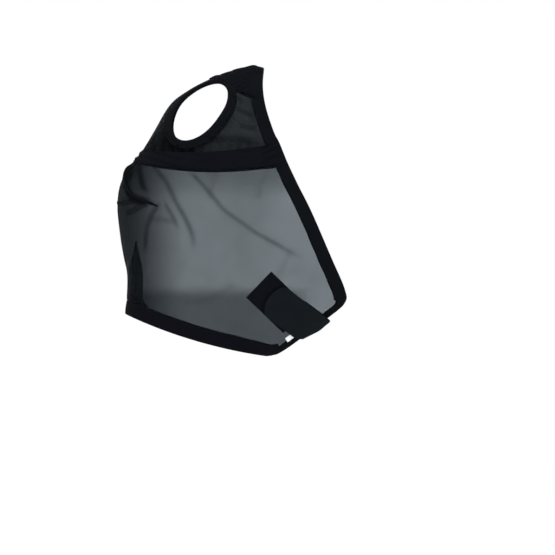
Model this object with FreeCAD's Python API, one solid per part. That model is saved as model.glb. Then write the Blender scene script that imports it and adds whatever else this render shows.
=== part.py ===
import FreeCAD, Part
import math
import os

# Fly mask for a horse, as worn. Millimetres.
# X: the horse's left is +X. Y: the horse faces -Y. Z: up.
# Origin: under the poll band on the middle plane, where the mask hangs on the poll.

V = FreeCAD.Vector

# ---------------------------------------------------------------- driving sizes
mask_reach = 320.0          # front of the eye bulge to the throat corner, along Y
mask_drop = 405.0           # poll to the lowest corner of the nose hem, along Z
mask_width = 210.0          # across the eyes, along X

mesh_thickness = 0.6
crown_thickness = 0.9       # the crown mesh is gathered, so it is thicker
poll_thickness = 1.2
binding_leaf = 0.9          # one leaf of a folded binding
layer_gap = 0.35            # air between two sewn layers
seam_gap = 1.0              # between two panels that butt under a tape
slot_depth = 1.0            # the fold of a binding, along the cloth

rear_binding_width = 18.0
nose_binding_width = 20.0
ear_binding_width = 12.0
throat_binding_width = 12.0

ear_hole_length = 104.0
ear_hole_width = 68.0
ear_hole_tilt = 25.0        # its long way leans back from straight up
ear_hole_place = (-72.0, -52.0)

forelock_share = 0.124      # half the forelock panel's width, of mask_width
seam_tape_width = 8.0
seam_tape_thickness = 0.8
band_thickness = 1.2
elastic_thickness = 1.2
elastic_clearance = 2.0     # from its ends to the rear bindings
brow_elastic_share = 0.7    # of the brow band's width
brow_stitch_share = 0.1
brow_line_spacing = 25.0    # between the band's edges
brow_lap = 0.45             # share of the band that each mesh panel goes under
poll_seam = 0.04            # these three in line numbers
hem_gap = 0.1
corner_gap = 0.5
dart_seam_width = 4.0
dart_seam_height = 1.2
thread_size = 0.5

tape_width = 50.0           # hook-and-loop tape
strap_thickness = 1.6
hook_pad_thickness = 1.2
patch_thickness = 1.4
closing_gap = 1.4           # from the patch to the hooks
patch_length = 70.0
patch_showing = 18.0        # of the patch's length, past the strap's tip
strap_side_reach = 76.0     # strap tip above the throat edge
strap_slant = 0.58          # the throat edge crosses the strap at an angle
strap_straight = 40.0       # above the throat edge, where the strap runs square to its fold
tip_roundness = 0.62        # 1 gives the tip a half circle
tip_reach = 36.0            # the part of it that peels first
strap_belly = 9.5           # how far the strap hangs under the throat edges
belly_squareness = 18       # 2 hangs in a round curve, more drops straight from the edges
strap_edge_gap = 2.2        # from a fold line to the cloth on each side of it
fold_place = 2.2            # fold line above the throat edge
anchor_length = 28.0
hook_pad_inset = 3.0
stitch_inset = 4.0

label_length = 12.0
label_width = 6.0
label_thickness = 0.5
label_place = (54.5, -373.5)
label_lean = 35.0

nose_pad_half_width = 34.0
nose_pad_depth = 19.0
nose_pad_slant = 0.45       # share of its length over which it meets the cloth
nose_pad_edge = 4.0         # its thickness at the top
nose_pad_hollow = 0.75      # how much thinner it is at its sides
nose_pad_peak = 0.5         # share of its width at the top
nose_pad_flare = 30.0       # how much wider each side gets just over the hem
nose_pad_flare_start = 0.7
nose_pad_gap = 2.0
nose_pad_top = 12.35        # line number over the head, as are the three below
poll_start = 0.35
poll_elastic_start = 2.6
poll_elastic_end = 3.4
dart_route = [(-169.0, -141.0), (-169.5, -163.0), (-162.0, -175.0), (-147.0, -183.0), (-131.0, -189.0)]

# ---------------------------------------------------------------- the head shape
# The mask's cut was drawn for these three sizes, and is graded from them.
drawn_reach = 320.0
drawn_drop = 405.0
drawn_width = 210.0
drawn_ear_length = 104.0
drawn_ear_binding = 12.0

# One row for each line over the head: its start on the middle plane (y, z), its end on
# the rear or throat edge (y, z), the widest half width, how far round it goes in
# degrees, and how far the line sags in side view.
LINES = [
    (17.5, 3.6, 19.0, 2.4, 1.5, 90, 0),        # 0 rear of the poll
    (4, 5, 18.5, -3, 22, 90, 0),
    (-16, 2.5, 17.5, -14, 40, 90, 0),
    (-36, -4, 18, -27, 51, 90, 0),
    (-54, -11, 20, -43, 58, 92, 0),            # 4 front of the poll band
    (-84, -26, 24.5, -62, 66, 105, 1),
    (-110, -46, 30, -79, 77, 118, 4),
    (-133, -82, 35, -92, 84, 123, 7),
    (-151, -113, 41, -103, 88, 125, 8),        # 8 top of the brow band
    (-163, -129, 52, -130, 93, 127, 11),       # 9 bottom of the brow band
    (-180, -157, 67, -162, 100, 129, 10),
    (-185, -190, 86, -200, 105, 130, 9),
    (-181, -232, 113, -262, 99, 132, 8),
    (-176, -262, 132, -306, 92, 138, 8),
    (-172, -280, 132.5, -325, 87, 146, 8),     # 14 throat corner
    (-171, -297, 107, -347.5, 83, 152, 8),
    (-172, -319, 54, -387, 78, 154, 8),        # 16 top of the nose hem
    (-174, -342, 29.5, -401, 74, 154, 8),      # 17 edge of the nose hem
]
POLL_FRONT = 4
BROW_TOP = 8
BROW_BOTTOM = 9
THROAT_CORNER = 14
HEM_TOP = 16
HEM_EDGE = 17
fullness = 1.2              # above 1 flattens the forehead


def hermite(column, u):
    """Smooth value of one column of LINES at the line number u."""
    last = len(LINES) - 1
    i = min(max(int(math.floor(u)), 0), last - 1)
    t = u - i

    def row(k):
        return float(LINES[min(max(k, 0), last)][column])

    def slope(k):
        if k <= 0:
            return row(1) - row(0)
        if k >= last:
            return row(last) - row(last - 1)
        return (row(k + 1) - row(k - 1)) / 2.0

    a, b = row(i), row(i + 1)
    p, q = slope(i), slope(i + 1)
    if t < 0 or t > 1:
        return (a + p * t) if t < 0 else (b + q * (t - 1))
    return (a * (2 * t ** 3 - 3 * t ** 2 + 1) + p * (t ** 3 - 2 * t ** 2 + t)
            + b * (3 * t ** 2 - 2 * t ** 3) + q * (t ** 3 - t ** 2))


def grade(y, z):
    """A place on the drawn cut, at this mask's size."""
    return y * mask_reach / drawn_reach, z * mask_drop / drawn_drop


def skin(u, v):
    """Inner face of the cloth: u counts the lines, v goes from the middle to the edge."""
    fy, fz = grade(hermite(0, u), hermite(1, u))
    by, bz = grade(hermite(2, u), hermite(3, u))
    width = hermite(4, u) * mask_width / drawn_width
    wrap = math.radians(hermite(5, u))
    angle = abs(v) * wrap
    share = ((1 - math.cos(angle)) / (1 - math.cos(wrap))) ** fullness
    run = math.hypot(by - fy, bz - fz)
    sag = hermite(6, u) * 4 * share * (1 - share)
    x = math.copysign(width * math.sin(angle), v)
    y = fy + (by - fy) * share + sag * (bz - fz) / run
    z = fz + (bz - fz) * share - sag * (by - fy) / run
    return V(x, y, z)


def frame_at(u, v):
    """Place and outward normal of the cloth."""
    du, dv = 0.02, 0.004
    along = skin(u + du, v) - skin(u - du, v)
    over = skin(u, v + dv) - skin(u, v - dv)
    normal = along.cross(over)
    normal.normalize()
    return skin(u, v), normal


def lifted(u, v, lift):
    """A point that stands off the cloth's inner face by lift."""
    place, normal = frame_at(u, v)
    return place + normal * lift


def nearest(target, u, v):
    """Line number and share of the point of the cloth nearest to target."""
    for _ in range(25):
        here = skin(u, v)
        gap = target - here
        su = (skin(u + 0.01, v) - skin(u - 0.01, v)) * 50.0
        sv = (skin(u, v + 0.002) - skin(u, v - 0.002)) * 250.0
        a, b, c = su.dot(su) + 1e-3, su.dot(sv), sv.dot(sv) + 1e-3
        e, f = su.dot(gap), sv.dot(gap)
        det = a * c - b * b
        step_u = max(-0.5, min(0.5, (c * e - b * f) / det))
        step_v = max(-0.1, min(0.1, (a * f - b * e) / det))
        u = max(0.0, min(float(HEM_EDGE), u + step_u))
        v = v + step_v
        if abs(step_u) < 1e-5 and abs(step_v) < 1e-6:
            break
    return u, v


def seen_along(u, v, target, across, up):
    """Point of the cloth in line with target, seen square to across and up."""
    for _ in range(40):
        gap = target - skin(u, v)
        su = (skin(u + 0.01, v) - skin(u - 0.01, v)) * 50.0
        sv = (skin(u, v + 0.002) - skin(u, v - 0.002)) * 250.0
        a, b = su.dot(across), sv.dot(across)
        c, d = su.dot(up), sv.dot(up)
        det = a * d - b * c
        if abs(det) < 1e-6:
            break
        e, f = gap.dot(across), gap.dot(up)
        u += max(-0.3, min(0.3, (e * d - b * f) / det))
        v += max(-0.05, min(0.05, (a * f - c * e) / det))
        u = max(0.0, min(float(HEM_EDGE), u))
        v = max(0.0, min(1.0, v))
    return u, v


COARSE = [(i / 4.0, j / 20.0) for i in range(0, HEM_EDGE * 4 + 1) for j in range(0, 21)]
COARSE = [(u, v, skin(u, v)) for u, v in COARSE]


def place_on_side(y, z):
    """Line number and share of the point seen at (y, z) from the left."""
    u, v, _ = min(COARSE, key=lambda c: (c[2].y - y) ** 2 + (c[2].z - z) ** 2)
    return seen_along(u, v, V(0, y, z), V(0, 1, 0), V(0, 0, 1))


def rear_share(u, inset):
    """Share v at a distance inset from the rear or throat edge, along a line."""
    speed = (skin(u, 1.0) - skin(u, 0.98)).Length / 0.02
    return 1.0 - inset / speed


def middle_share(u, width):
    """Share v at a distance width from the middle plane, along a line."""
    speed = (skin(u, 0.03) - skin(u, 0.0)).Length / 0.03
    return width / speed


def hem_line(v, inset):
    """Line number at a distance inset from the nose edge."""
    speed = (skin(HEM_EDGE, v) - skin(HEM_EDGE - 0.1, v)).Length / 0.1
    return HEM_EDGE - inset / speed


# ---------------------------------------------------------------- solids
def curve(points):
    spline = Part.BSplineCurve()
    spline.interpolate(points)
    return spline.toShape()


def loop(points):
    spline = Part.BSplineCurve()
    spline.interpolate(Points=points, PeriodicFlag=True)
    return spline.toShape()


def triangle(a, b, c):
    return Part.Face(Part.makePolygon([a, b, c, a]))


def solid_of(faces):
    shell = Part.makeShell(faces)
    shell.sewShape()
    if shell.ShapeType != "Shell":
        shell = shell.Shells[0]
    body = Part.makeSolid(shell)
    if body.Volume < 0:
        body.reverse()
    return body


def sheet_solid(inner, outer):
    """Closed solid between two grids of points."""
    faces = []
    for grid in (inner, outer):
        surface = Part.BSplineSurface()
        surface.interpolate(grid)
        faces.append(surface.toShape())
    sides = [
        ([row[0] for row in inner], [row[0] for row in outer]),
        ([row[-1] for row in inner], [row[-1] for row in outer]),
        (inner[0], outer[0]),
        (inner[-1], outer[-1]),
    ]
    for low, high in sides:
        faces.append(side_face(faces[0], faces[1], low, high))
    return solid_of(faces)


def side_face(low_face, high_face, low, high):
    """Ruled face between the matching borders of two faces."""
    def border(face, points):
        want = (points[0], points[-1])
        middle = points[len(points) // 2]

        def miss(edge):
            ends = [vertex.Point for vertex in edge.Vertexes]
            if len(ends) < 2:
                return 1e9
            straight = (ends[0] - want[0]).Length + (ends[-1] - want[1]).Length
            turned = (ends[0] - want[1]).Length + (ends[-1] - want[0]).Length
            far = edge.distToShape(Part.Vertex(middle))[0]
            return min(straight, turned) + far
        return min(face.Edges, key=miss)

    return Part.makeRuledSurface(border(low_face, low), border(high_face, high))


def panel(place, rows, columns, low, high):
    """Sheet of cloth: place(a, b) gives (u, v); low and high are its lifts."""
    def grid(lift):
        result = []
        for i in range(rows + 1):
            line = []
            for j in range(columns + 1):
                a, b = i / float(rows), j / float(columns)
                u, v = place(a, b)
                value = lift(a, b) if callable(lift) else lift
                line.append(lifted(u, v, value))
            result.append(line)
        return result
    return sheet_solid(grid(low), grid(high))


def rails_solid(rails, cap_quads, closed):
    """Solid inside a ring of rails, each a list of points at the same stations."""
    make = loop if closed else curve
    edges = [make(rail) for rail in rails]
    faces = []
    for i in range(len(edges)):
        faces.append(Part.makeRuledSurface(edges[i], edges[(i + 1) % len(edges)]))
    if not closed:
        for end in (0, -1):
            for a, b, c, d in cap_quads:
                faces.append(triangle(rails[a][end], rails[b][end], rails[c][end]))
                faces.append(triangle(rails[a][end], rails[c][end], rails[d][end]))
    return solid_of(faces)


slot_low = -layer_gap
slot_high = poll_thickness + layer_gap
leaf_low = slot_low - binding_leaf
leaf_high = slot_high + binding_leaf
outer_lift = leaf_high + layer_gap      # the next layer over a binding


def binding(stations, width, closed=False, flip=1.0):
    """Folded tape over a cloth edge; stations are (u, v) along that edge."""
    count = len(stations)
    rows = []
    for i, (u, v) in enumerate(stations):
        place, normal = frame_at(u, v)
        before = skin(*stations[(i - 1) % count if closed else max(i - 1, 0)])
        after = skin(*stations[(i + 1) % count if closed else min(i + 1, count - 1)])
        tangent = after - before
        inward = normal.cross(tangent) * flip
        inward.normalize()
        marks = []
        for reach in (0.0, slot_depth, width / 2.0, width):
            target = place + inward * reach
            uu, vv = (u, v) if reach == 0.0 else nearest(target, u, v)
            marks.append((uu, vv))
        rows.append(marks)
    plan = [
        (0, leaf_high), (2, leaf_high), (3, leaf_high),
        (3, slot_high), (2, slot_high), (1, slot_high),
        (1, slot_low), (2, slot_low), (3, slot_low),
        (3, leaf_low), (2, leaf_low), (0, leaf_low),
    ]
    rails = [[lifted(row[k][0], row[k][1], lift) for row in rows] for k, lift in plan]
    quads = [(0, 1, 4, 5), (1, 2, 3, 4), (0, 5, 6, 11), (6, 7, 10, 11), (7, 8, 9, 10)]
    return rails_solid(rails, quads, closed)


def steps(low, high, count):
    return [low + (high - low) * i / float(count) for i in range(count + 1)]


def mirrored(shape):
    return shape.mirror(V(0, 0, 0), V(1, 0, 0))


# ---------------------------------------------------------------- ear holes
def ear_frame():
    """Middle of the left ear hole, its long, short and outward directions, and its (u, v)."""
    y, z = grade(*ear_hole_place)
    below = (drawn_ear_length / 2.0 + drawn_ear_binding) * mask_drop / drawn_drop
    rise = ear_hole_length / 2.0 + ear_binding_width - below     # keeps it clear of the brow band
    lean = math.radians(ear_hole_tilt)
    u, v = place_on_side(y + rise * math.sin(lean), z + rise * math.cos(lean))
    centre, outward = frame_at(u, v)
    up = V(0, 0, 1) - outward * outward.z
    up.normalize()
    ahead = outward.cross(up)
    long_way = up * math.cos(lean) - ahead * math.sin(lean)
    short_way = ahead * math.cos(lean) + up * math.sin(lean)
    return centre, long_way, short_way, outward, (u, v)


def ear_outline(grow):
    """The left ear hole's edge, an oval in its own plane."""
    centre, long_way, short_way, _, _ = ear_frame()
    result = []
    for i in range(36):
        angle = 2 * math.pi * i / 36.0
        high = (ear_hole_length / 2.0 + grow) * math.cos(angle)
        wide = (ear_hole_width / 2.0 + grow) * math.sin(angle)
        result.append(centre + long_way * high + short_way * wide)
    return result


def ear_prism():
    """Tool that opens the left ear hole as far as the fold of its binding."""
    outward = ear_frame()[3]
    points = [point - outward * 40.0 for point in ear_outline(slot_depth + layer_gap)]
    return Part.Face(Part.Wire([loop(points)])).extrude(outward * 80.0)


def ear_stations():
    """The left ear hole's edge on the cloth, as (u, v) places."""
    centre, long_way, short_way, _, (u, v) = ear_frame()
    points = ear_outline(0.0)
    for step in range(1, 11):
        target = centre + (points[0] - centre) * (step / 10.0)
        u, v = seen_along(u, v, target, long_way, short_way)
    result = []
    for point in points:
        u, v = seen_along(u, v, point, long_way, short_way)
        result.append((u, v))
    return result


def open_ears(shape):
    left = ear_prism()
    return shape.cut(left).cut(mirrored(left))


# ---------------------------------------------------------------- the strap's route
# The strap leaves the right cheek's edge, passes under the jaw and lies on the left
# cheek. reach is measured up the cheek from the throat edge, across over its width.
strap_foot = (87.4, -360.1)             # where its middle crosses the throat edge
strap_lean = math.radians(144.0)        # its way up the cheek, from +Y towards +Z
patch_head = (12.2, -299.7)             # the middle of the patch's upper end
patch_lean = math.radians(136.0)


def on_cheek(start, lean, reach, across, lift):
    """Point of a strip that lies on the cheek, from its start and its way in side view."""
    start_y, start_z = grade(*start)
    y = start_y + reach * math.cos(lean) + across * math.sin(lean)
    z = start_z + reach * math.sin(lean) - across * math.cos(lean)
    u, v = place_on_side(y, z)
    return lifted(u, v, lift)


def cheek_place(reach, across, lift):
    ease = max(0.0, 1 - max(reach, 0.0) / strap_straight) ** 2
    return on_cheek(strap_foot, strap_lean, reach - strap_slant * across * ease, across, lift)


def patch_place(back, across, lift):
    """back is measured down the patch from its upper end."""
    return on_cheek(patch_head, patch_lean, -back, across, lift)


strap_low = outer_lift + patch_thickness + closing_gap + hook_pad_thickness
strap_middle = strap_low + strap_thickness / 2.0


def belly_place(share, across, lift):
    """Point under the jaw; share is -1 at the right throat edge and 1 at the left."""
    edge = cheek_place(fold_place, across, lift)
    lean = strap_lean + math.atan(strap_slant)
    down = V(0, -math.cos(lean), -math.sin(lean))
    return V(edge.x * share, edge.y, edge.z) + down * (strap_belly * (1 - share ** belly_squareness))


def strap_sheet(place, columns, low, high, rows=6):
    """Strip of tape: place(a, across, lift), a from 0 to 1 along it."""
    grids = []
    for lift in (low, high):
        grid = []
        for j in range(columns + 1):
            line = []
            for i in range(rows + 1):
                across = tape_width * (i / float(rows) - 0.5)
                line.append(place(j / float(columns), across, lift))
            grid.append(line)
        grids.append(grid)
    return sheet_solid(*grids)


def tip_end(across):
    """How far the rounded tip reaches at a distance from the strap's middle."""
    half = tape_width / 2.0
    return strap_side_reach - tip_roundness * (half - math.sqrt(max(half * half - across * across, 0.0)))


# ---------------------------------------------------------------- pieces
pieces = {}


def add(name, shape):
    pieces[name] = shape


def add_pair(name, shape):
    pieces["left_" + name] = shape
    pieces["right_" + name] = mirrored(shape)


def face_mesh():
    def place(a, b):
        start = BROW_BOTTOM - brow_lap
        v_low = middle_share(start + a * (HEM_EDGE - start), seam_gap / 2.0)
        u = start + a * (hem_line(b, slot_depth + layer_gap) - start)
        v_high = rear_share(u, slot_depth + layer_gap)
        return u, v_low + b * (v_high - v_low)
    return panel(place, 34, 26, 0.0, mesh_thickness)


def crown_mesh():
    low, high = POLL_FRONT + poll_seam, BROW_TOP + brow_lap

    def place(a, b):
        u = low + a * (high - low)
        v_low = middle_share(u, forelock_share * mask_width + seam_gap)
        v_high = rear_share(u, slot_depth + layer_gap)
        return u, v_low + b * (v_high - v_low)
    return panel(place, 18, 20, 0.0, crown_thickness).cut(ear_prism())


def forelock_panel():
    low, high = POLL_FRONT + poll_seam, BROW_TOP + brow_lap

    def place(a, b):
        u = low + a * (high - low)
        v = middle_share(u, forelock_share * mask_width)
        return u, v * (2 * b - 1)
    return open_ears(panel(place, 18, 10, 0.0, crown_thickness))


def poll_band():
    low, high = poll_start, POLL_FRONT

    def place(a, b):
        u = low + a * (high - low)
        v = rear_share(u, slot_depth + layer_gap)
        return u, v * (2 * b - 1)
    return open_ears(panel(place, 12, 24, 0.0, poll_thickness))


def elastic(first, second, inset):
    """Elastic tape sewn behind a band, between two lines over the head."""
    def place(a, b):
        u = first + a * (second - first)
        v = rear_share(u, inset)
        return u, v * (2 * b - 1)
    return panel(place, 3, 40, leaf_low - layer_gap - elastic_thickness, leaf_low - layer_gap)


def brow_band():
    def place(a, b):
        u = BROW_TOP + a * (BROW_BOTTOM - BROW_TOP)
        v = rear_share(u, rear_binding_width + layer_gap)
        return u, v * (2 * b - 1)
    return panel(place, 4, 44, slot_high, slot_high + band_thickness)


def brow_stitching():
    rows = []
    for share in (brow_stitch_share, 1 - brow_stitch_share):
        def place(a, b, share=share):
            u = BROW_TOP + share + (a - 0.5) * thread_size / brow_line_spacing
            v = rear_share(u, rear_binding_width + stitch_inset)
            return u, v * (2 * b - 1)
        top = slot_high + band_thickness
        rows.append(panel(place, 1, 44, top, top + thread_size))
    return Part.makeCompound(rows)


def rear_binding():
    lines = [0.02, 0.35, 0.7] + steps(1.0, THROAT_CORNER + 0.12, 36)
    return binding([(u, 1.0) for u in lines], rear_binding_width, flip=-1.0)


def throat_binding():
    lines = steps(THROAT_CORNER + corner_gap, HEM_TOP - hem_gap, 8)
    return binding([(u, 1.0) for u in lines], throat_binding_width, flip=-1.0)


def nose_binding():
    shares = steps(-1.0, 1.0, 48)
    return binding([(float(HEM_EDGE), v) for v in shares], nose_binding_width)


def seam_tape():
    low_line = BROW_BOTTOM + hem_gap

    def place(a, b):
        u = low_line + a * (hem_line(0, nose_binding_width + layer_gap) - low_line)
        v = middle_share(u, seam_tape_width / 2.0)
        return u, v * (2 * b - 1)
    low = mesh_thickness + layer_gap
    return panel(place, 24, 4, low, low + seam_tape_thickness)


def nose_pad():
    low, high = nose_pad_top, hem_line(0, nose_binding_width + nose_pad_gap)

    def place(a, b):
        u = low + a * (high - low)
        half = nose_pad_half_width * min(1.0, nose_pad_peak + a)
        half += nose_pad_flare * max(0.0, (a - nose_pad_flare_start) / (1 - nose_pad_flare_start)) ** 2
        v = middle_share(u, half) * (2 * b - 1)
        return u + a * (hem_line(abs(v), nose_binding_width + nose_pad_gap) - high), v

    def front(a, b):
        return -seam_gap - (nose_pad_depth - nose_pad_edge) * max(0.0, 1 - a / nose_pad_slant) ** 1.2

    def back(a, b):
        side = abs(2 * b - 1)
        return min(front(a, b) - nose_pad_gap, nose_pad_depth * (nose_pad_hollow * side ** 3 - 1))
    return panel(place, 20, 16, back, front)


def dart_seam():
    stations = [place_on_side(*grade(y, z)) for y, z in dart_route]
    low = mesh_thickness + layer_gap
    rows = []
    for i, (u, v) in enumerate(stations):
        place, normal = frame_at(u, v)
        before = skin(*stations[max(i - 1, 0)])
        after = skin(*stations[min(i + 1, len(stations) - 1)])
        side = normal.cross(after - before)
        side.normalize()
        half = dart_seam_width / 2.0
        rows.append([nearest(place + side * s * half, u, v) for s in (-1, 1)])
    plan = [(0, low), (1, low), (1, low + dart_seam_height), (0, low + dart_seam_height)]
    rails = [[lifted(row[k][0], row[k][1], lift) for row in rows] for k, lift in plan]
    return rails_solid(rails, [(0, 1, 2, 3)], False)


def closure_patch():
    def place(a, across, lift):
        return patch_place((1 - a) * patch_length, across, lift)
    return strap_sheet(place, 10, outer_lift, outer_lift + patch_thickness)


def thread_frame(strip, start, end, across, lift):
    """Four rows of thread round a sewn rectangle of a strip on the cheek."""
    half = thread_size / 2.0
    rows = []
    boxes = [
        (start, end, -across - half, -across + half),
        (start, end, across - half, across + half),
        (start - half, start + half, -across + 1.0, across - 1.0),
        (end - half, end + half, -across + 1.0, across - 1.0),
    ]
    for r0, r1, a0, a1 in boxes:
        grids = []
        for level in (lift, lift + thread_size):
            grids.append([[strip(r0 + (r1 - r0) * i / 6.0, a0 + (a1 - a0) * j / 6.0, level)
                           for j in range(7)] for i in range(7)])
        rows.append(sheet_solid(*grids))
    return Part.makeCompound(rows)


def patch_stitching():
    return thread_frame(patch_place, stitch_inset, patch_showing - stitch_inset,
                        tape_width / 2.0 - stitch_inset, outer_lift + patch_thickness)


def strap_anchor():
    def place(a, across, lift):
        return cheek_place(fold_place + strap_edge_gap + a * anchor_length, across, lift)
    return mirrored(strap_sheet(place, 6, outer_lift, strap_low + strap_thickness))


def anchor_stitching():
    first = fold_place + strap_edge_gap + stitch_inset
    return mirrored(thread_frame(cheek_place, first, first + anchor_length - 2 * stitch_inset,
                                 tape_width / 2.0 - stitch_inset, strap_low + strap_thickness))


def strap_under():
    edge = cheek_place(fold_place, 0.0, strap_middle).x
    limit = 1.0 - strap_edge_gap / edge

    def place(a, across, lift):
        return belly_place(limit * (2 * a - 1), across, lift)
    return strap_sheet(place, 16, strap_low, strap_low + strap_thickness)


def strap_side(low, high, inset):
    first = fold_place + strap_edge_gap + inset
    last = strap_side_reach - tip_reach - strap_edge_gap

    def place(a, across, lift):
        return cheek_place(first + a * (last - first), across * (1 - 2 * inset / tape_width), lift)
    return strap_sheet(place, 8, low, high)


def strap_tip(low, high, inset):
    first = strap_side_reach - tip_reach + strap_edge_gap

    def place(a, across, lift):
        across *= 1 - 2 * inset / tape_width
        return cheek_place(first + a * (tip_end(across) - inset - first), across, lift)
    return strap_sheet(place, 8, low, high, rows=12)


def size_label():
    centre = grade(*label_place)
    lean = math.radians(label_lean)

    def place(a, b):
        r, s = label_length * (a - 0.5), label_width * (b - 0.5)
        y = centre[0] + r * math.cos(lean) - s * math.sin(lean)
        z = centre[1] + r * math.sin(lean) + s * math.cos(lean)
        return place_on_side(y, z)
    return panel(place, 3, 3, outer_lift, outer_lift + label_thickness)


add_pair("face_mesh", face_mesh())
add_pair("crown_mesh", crown_mesh())
add("forelock_panel", forelock_panel())
add("poll_band", poll_band())
add("poll_elastic", elastic(poll_elastic_start, poll_elastic_end, rear_binding_width + elastic_clearance))
add("brow_band", brow_band())
margin = (1 - brow_elastic_share) / 2.0
add("brow_elastic", elastic(BROW_TOP + margin, BROW_BOTTOM - margin,
                            rear_binding_width + elastic_clearance))
add("brow_stitching", brow_stitching())
add_pair("ear_binding", binding(ear_stations(), ear_binding_width, closed=True, flip=-1.0))
add_pair("rear_binding", rear_binding())
add_pair("throat_binding", throat_binding())
add("nose_binding", nose_binding())
add("center_seam_tape", seam_tape())
add("nose_pad", nose_pad())
add_pair("eye_dart_seam", dart_seam())
add("closure_patch", closure_patch())
add("patch_stitching", patch_stitching())
add("strap_anchor", strap_anchor())
add("anchor_stitching", anchor_stitching())
add("strap_under", strap_under())
add("strap_side", strap_side(strap_low, strap_low + strap_thickness, 0.0))
add("strap_tip", strap_tip(strap_low, strap_low + strap_thickness, 0.0))
pad_low = strap_low - hook_pad_thickness
add("side_hook_pad", strap_side(pad_low, strap_low, hook_pad_inset))
add("tip_hook_pad", strap_tip(pad_low, strap_low, hook_pad_inset))
add("size_label", size_label())

os.makedirs("parts", exist_ok=True)
for name, shape in pieces.items():
    shape.exportStep("parts/" + name + ".step")
    print(name, "valid" if shape.isValid() else "INVALID", round(shape.Volume, 1), "mm3",
          len(shape.Solids), "solids")
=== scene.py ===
import math

import bpy
import numpy as np
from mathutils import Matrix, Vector


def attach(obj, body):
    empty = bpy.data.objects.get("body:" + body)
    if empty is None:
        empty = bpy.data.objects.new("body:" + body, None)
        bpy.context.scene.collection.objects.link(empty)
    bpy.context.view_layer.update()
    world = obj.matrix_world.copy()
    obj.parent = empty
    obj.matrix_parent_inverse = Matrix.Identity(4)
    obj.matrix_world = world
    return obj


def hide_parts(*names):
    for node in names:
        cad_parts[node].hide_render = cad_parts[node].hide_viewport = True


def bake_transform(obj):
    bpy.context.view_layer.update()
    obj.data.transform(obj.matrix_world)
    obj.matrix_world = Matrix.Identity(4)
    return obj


# Looks for a horse's fly mask: see-through mesh panels, folded bindings, a ruched poll,
# a padded nose, and a hook-and-loop strap. Lengths are in millimetres until a mesh is
# made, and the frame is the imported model's: X to the horse's left, Y to its tail, Z up.

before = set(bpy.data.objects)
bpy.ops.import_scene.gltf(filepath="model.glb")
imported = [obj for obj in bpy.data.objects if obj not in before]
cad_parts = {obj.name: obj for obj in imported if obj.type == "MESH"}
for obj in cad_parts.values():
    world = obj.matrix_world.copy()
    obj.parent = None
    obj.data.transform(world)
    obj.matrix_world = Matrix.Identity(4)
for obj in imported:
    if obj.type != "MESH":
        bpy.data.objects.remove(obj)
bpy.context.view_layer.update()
MM = 0.001

# ---------------------------------------------------------------- sizes, as in the frame
LEAF, GAP = 0.9, 0.35
REAR_W, NOSE_W, EAR_W, THROAT_W = 18.0, 20.0, 12.0, 12.0
EAR_LENGTH, EAR_WIDTH, EAR_TILT, EAR_PLACE = 104.0, 68.0, 25.0, (-72.0, -52.0)
SLOT_LOW, SLOT_HIGH = -GAP, 1.2 + GAP
LEAF_LOW, LEAF_HIGH = SLOT_LOW - LEAF, SLOT_HIGH + LEAF
OUTER = LEAF_HIGH + GAP
TAPE, STRAP_T, PAD_T, PATCH_T = 50.0, 1.6, 1.2, 1.4
STRAP_FOOT, STRAP_LEAN, SLANT, STRAIGHT = (87.4, -360.1), math.radians(144.0), 0.58, 40.0
STRAP_REACH, TIP_REACH, BELLY, FOLD, ANCHOR = 76.0, 36.0, 9.5, 2.2, 28.0
PATCH_LENGTH, TIP_ROUND = 70.0, 0.62
PAD_TOP, PAD_HALF, PAD_FLARE, PAD_FLARE_START, PAD_SLANT, PAD_DEPTH = 12.3, 34.0, 30.0, 0.7, 0.45, 20.0
POLL_ELASTIC, ELASTIC_GAP, SEAM_HALF = (2.6, 3.4), 2.0, 4.0
LABEL_PLACE, LABEL_LEAN, LABEL_HALF, LABEL_T = (54.5, -373.0), math.radians(35.0), (6.0, 3.0), 0.5
STRAP_LOW = OUTER + PATCH_T + PAD_T + 1.4

# Lines over the head: start (y, z), end (y, z), half width, wrap in degrees, sag.
LINES = np.array([
    (17.5, 3.6, 19.0, 2.4, 1.5, 90, 0),
    (4, 5, 18.5, -3, 22, 90, 0),
    (-16, 2.5, 17.5, -14, 40, 90, 0),
    (-36, -4, 18, -27, 51, 90, 0),
    (-54, -11, 20, -43, 58, 92, 0),
    (-84, -26, 24.5, -62, 66, 105, 1),
    (-110, -46, 30, -79, 77, 118, 4),
    (-133, -82, 35, -92, 84, 123, 7),
    (-151, -113, 41, -103, 88, 125, 8),
    (-163, -129, 52, -130, 93, 127, 11),
    (-180, -157, 67, -162, 100, 129, 10),
    (-185, -190, 86, -200, 105, 130, 9),
    (-181, -232, 113, -262, 99, 132, 8),
    (-176, -262, 132, -306, 92, 138, 8),
    (-172, -280, 132.5, -325, 87, 146, 8),
    (-171, -297, 107, -347.5, 83, 152, 8),
    (-172, -319, 54, -387, 78, 154, 8),
    (-174, -342, 29.5, -401, 74, 154, 8),
], float)
POLL, BROW_TOP, BROW_LOW, CORNER, HEM_TOP, HEM = 4, 8, 9, 14, 16, 17
FULLNESS = 1.2
SLOPES = np.gradient(LINES, axis=0)
SLOPES[0] = LINES[1] - LINES[0]
SLOPES[-1] = LINES[-1] - LINES[-2]


# ---------------------------------------------------------------- the head's surface
def column(k, u):
    i = np.clip(np.floor(u).astype(int), 0, HEM - 1)
    t = u - i
    s = np.clip(t, 0, 1)
    a, b = LINES[i, k], LINES[i + 1, k]
    p, q = SLOPES[i, k], SLOPES[i + 1, k]
    value = (a * (2 * s**3 - 3 * s**2 + 1) + p * (s**3 - 2 * s**2 + s)
             + b * (3 * s**2 - 2 * s**3) + q * (s**3 - s**2))
    return value + np.where(t < 0, p * t, 0) + np.where(t > 1, q * (t - 1), 0)


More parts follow.
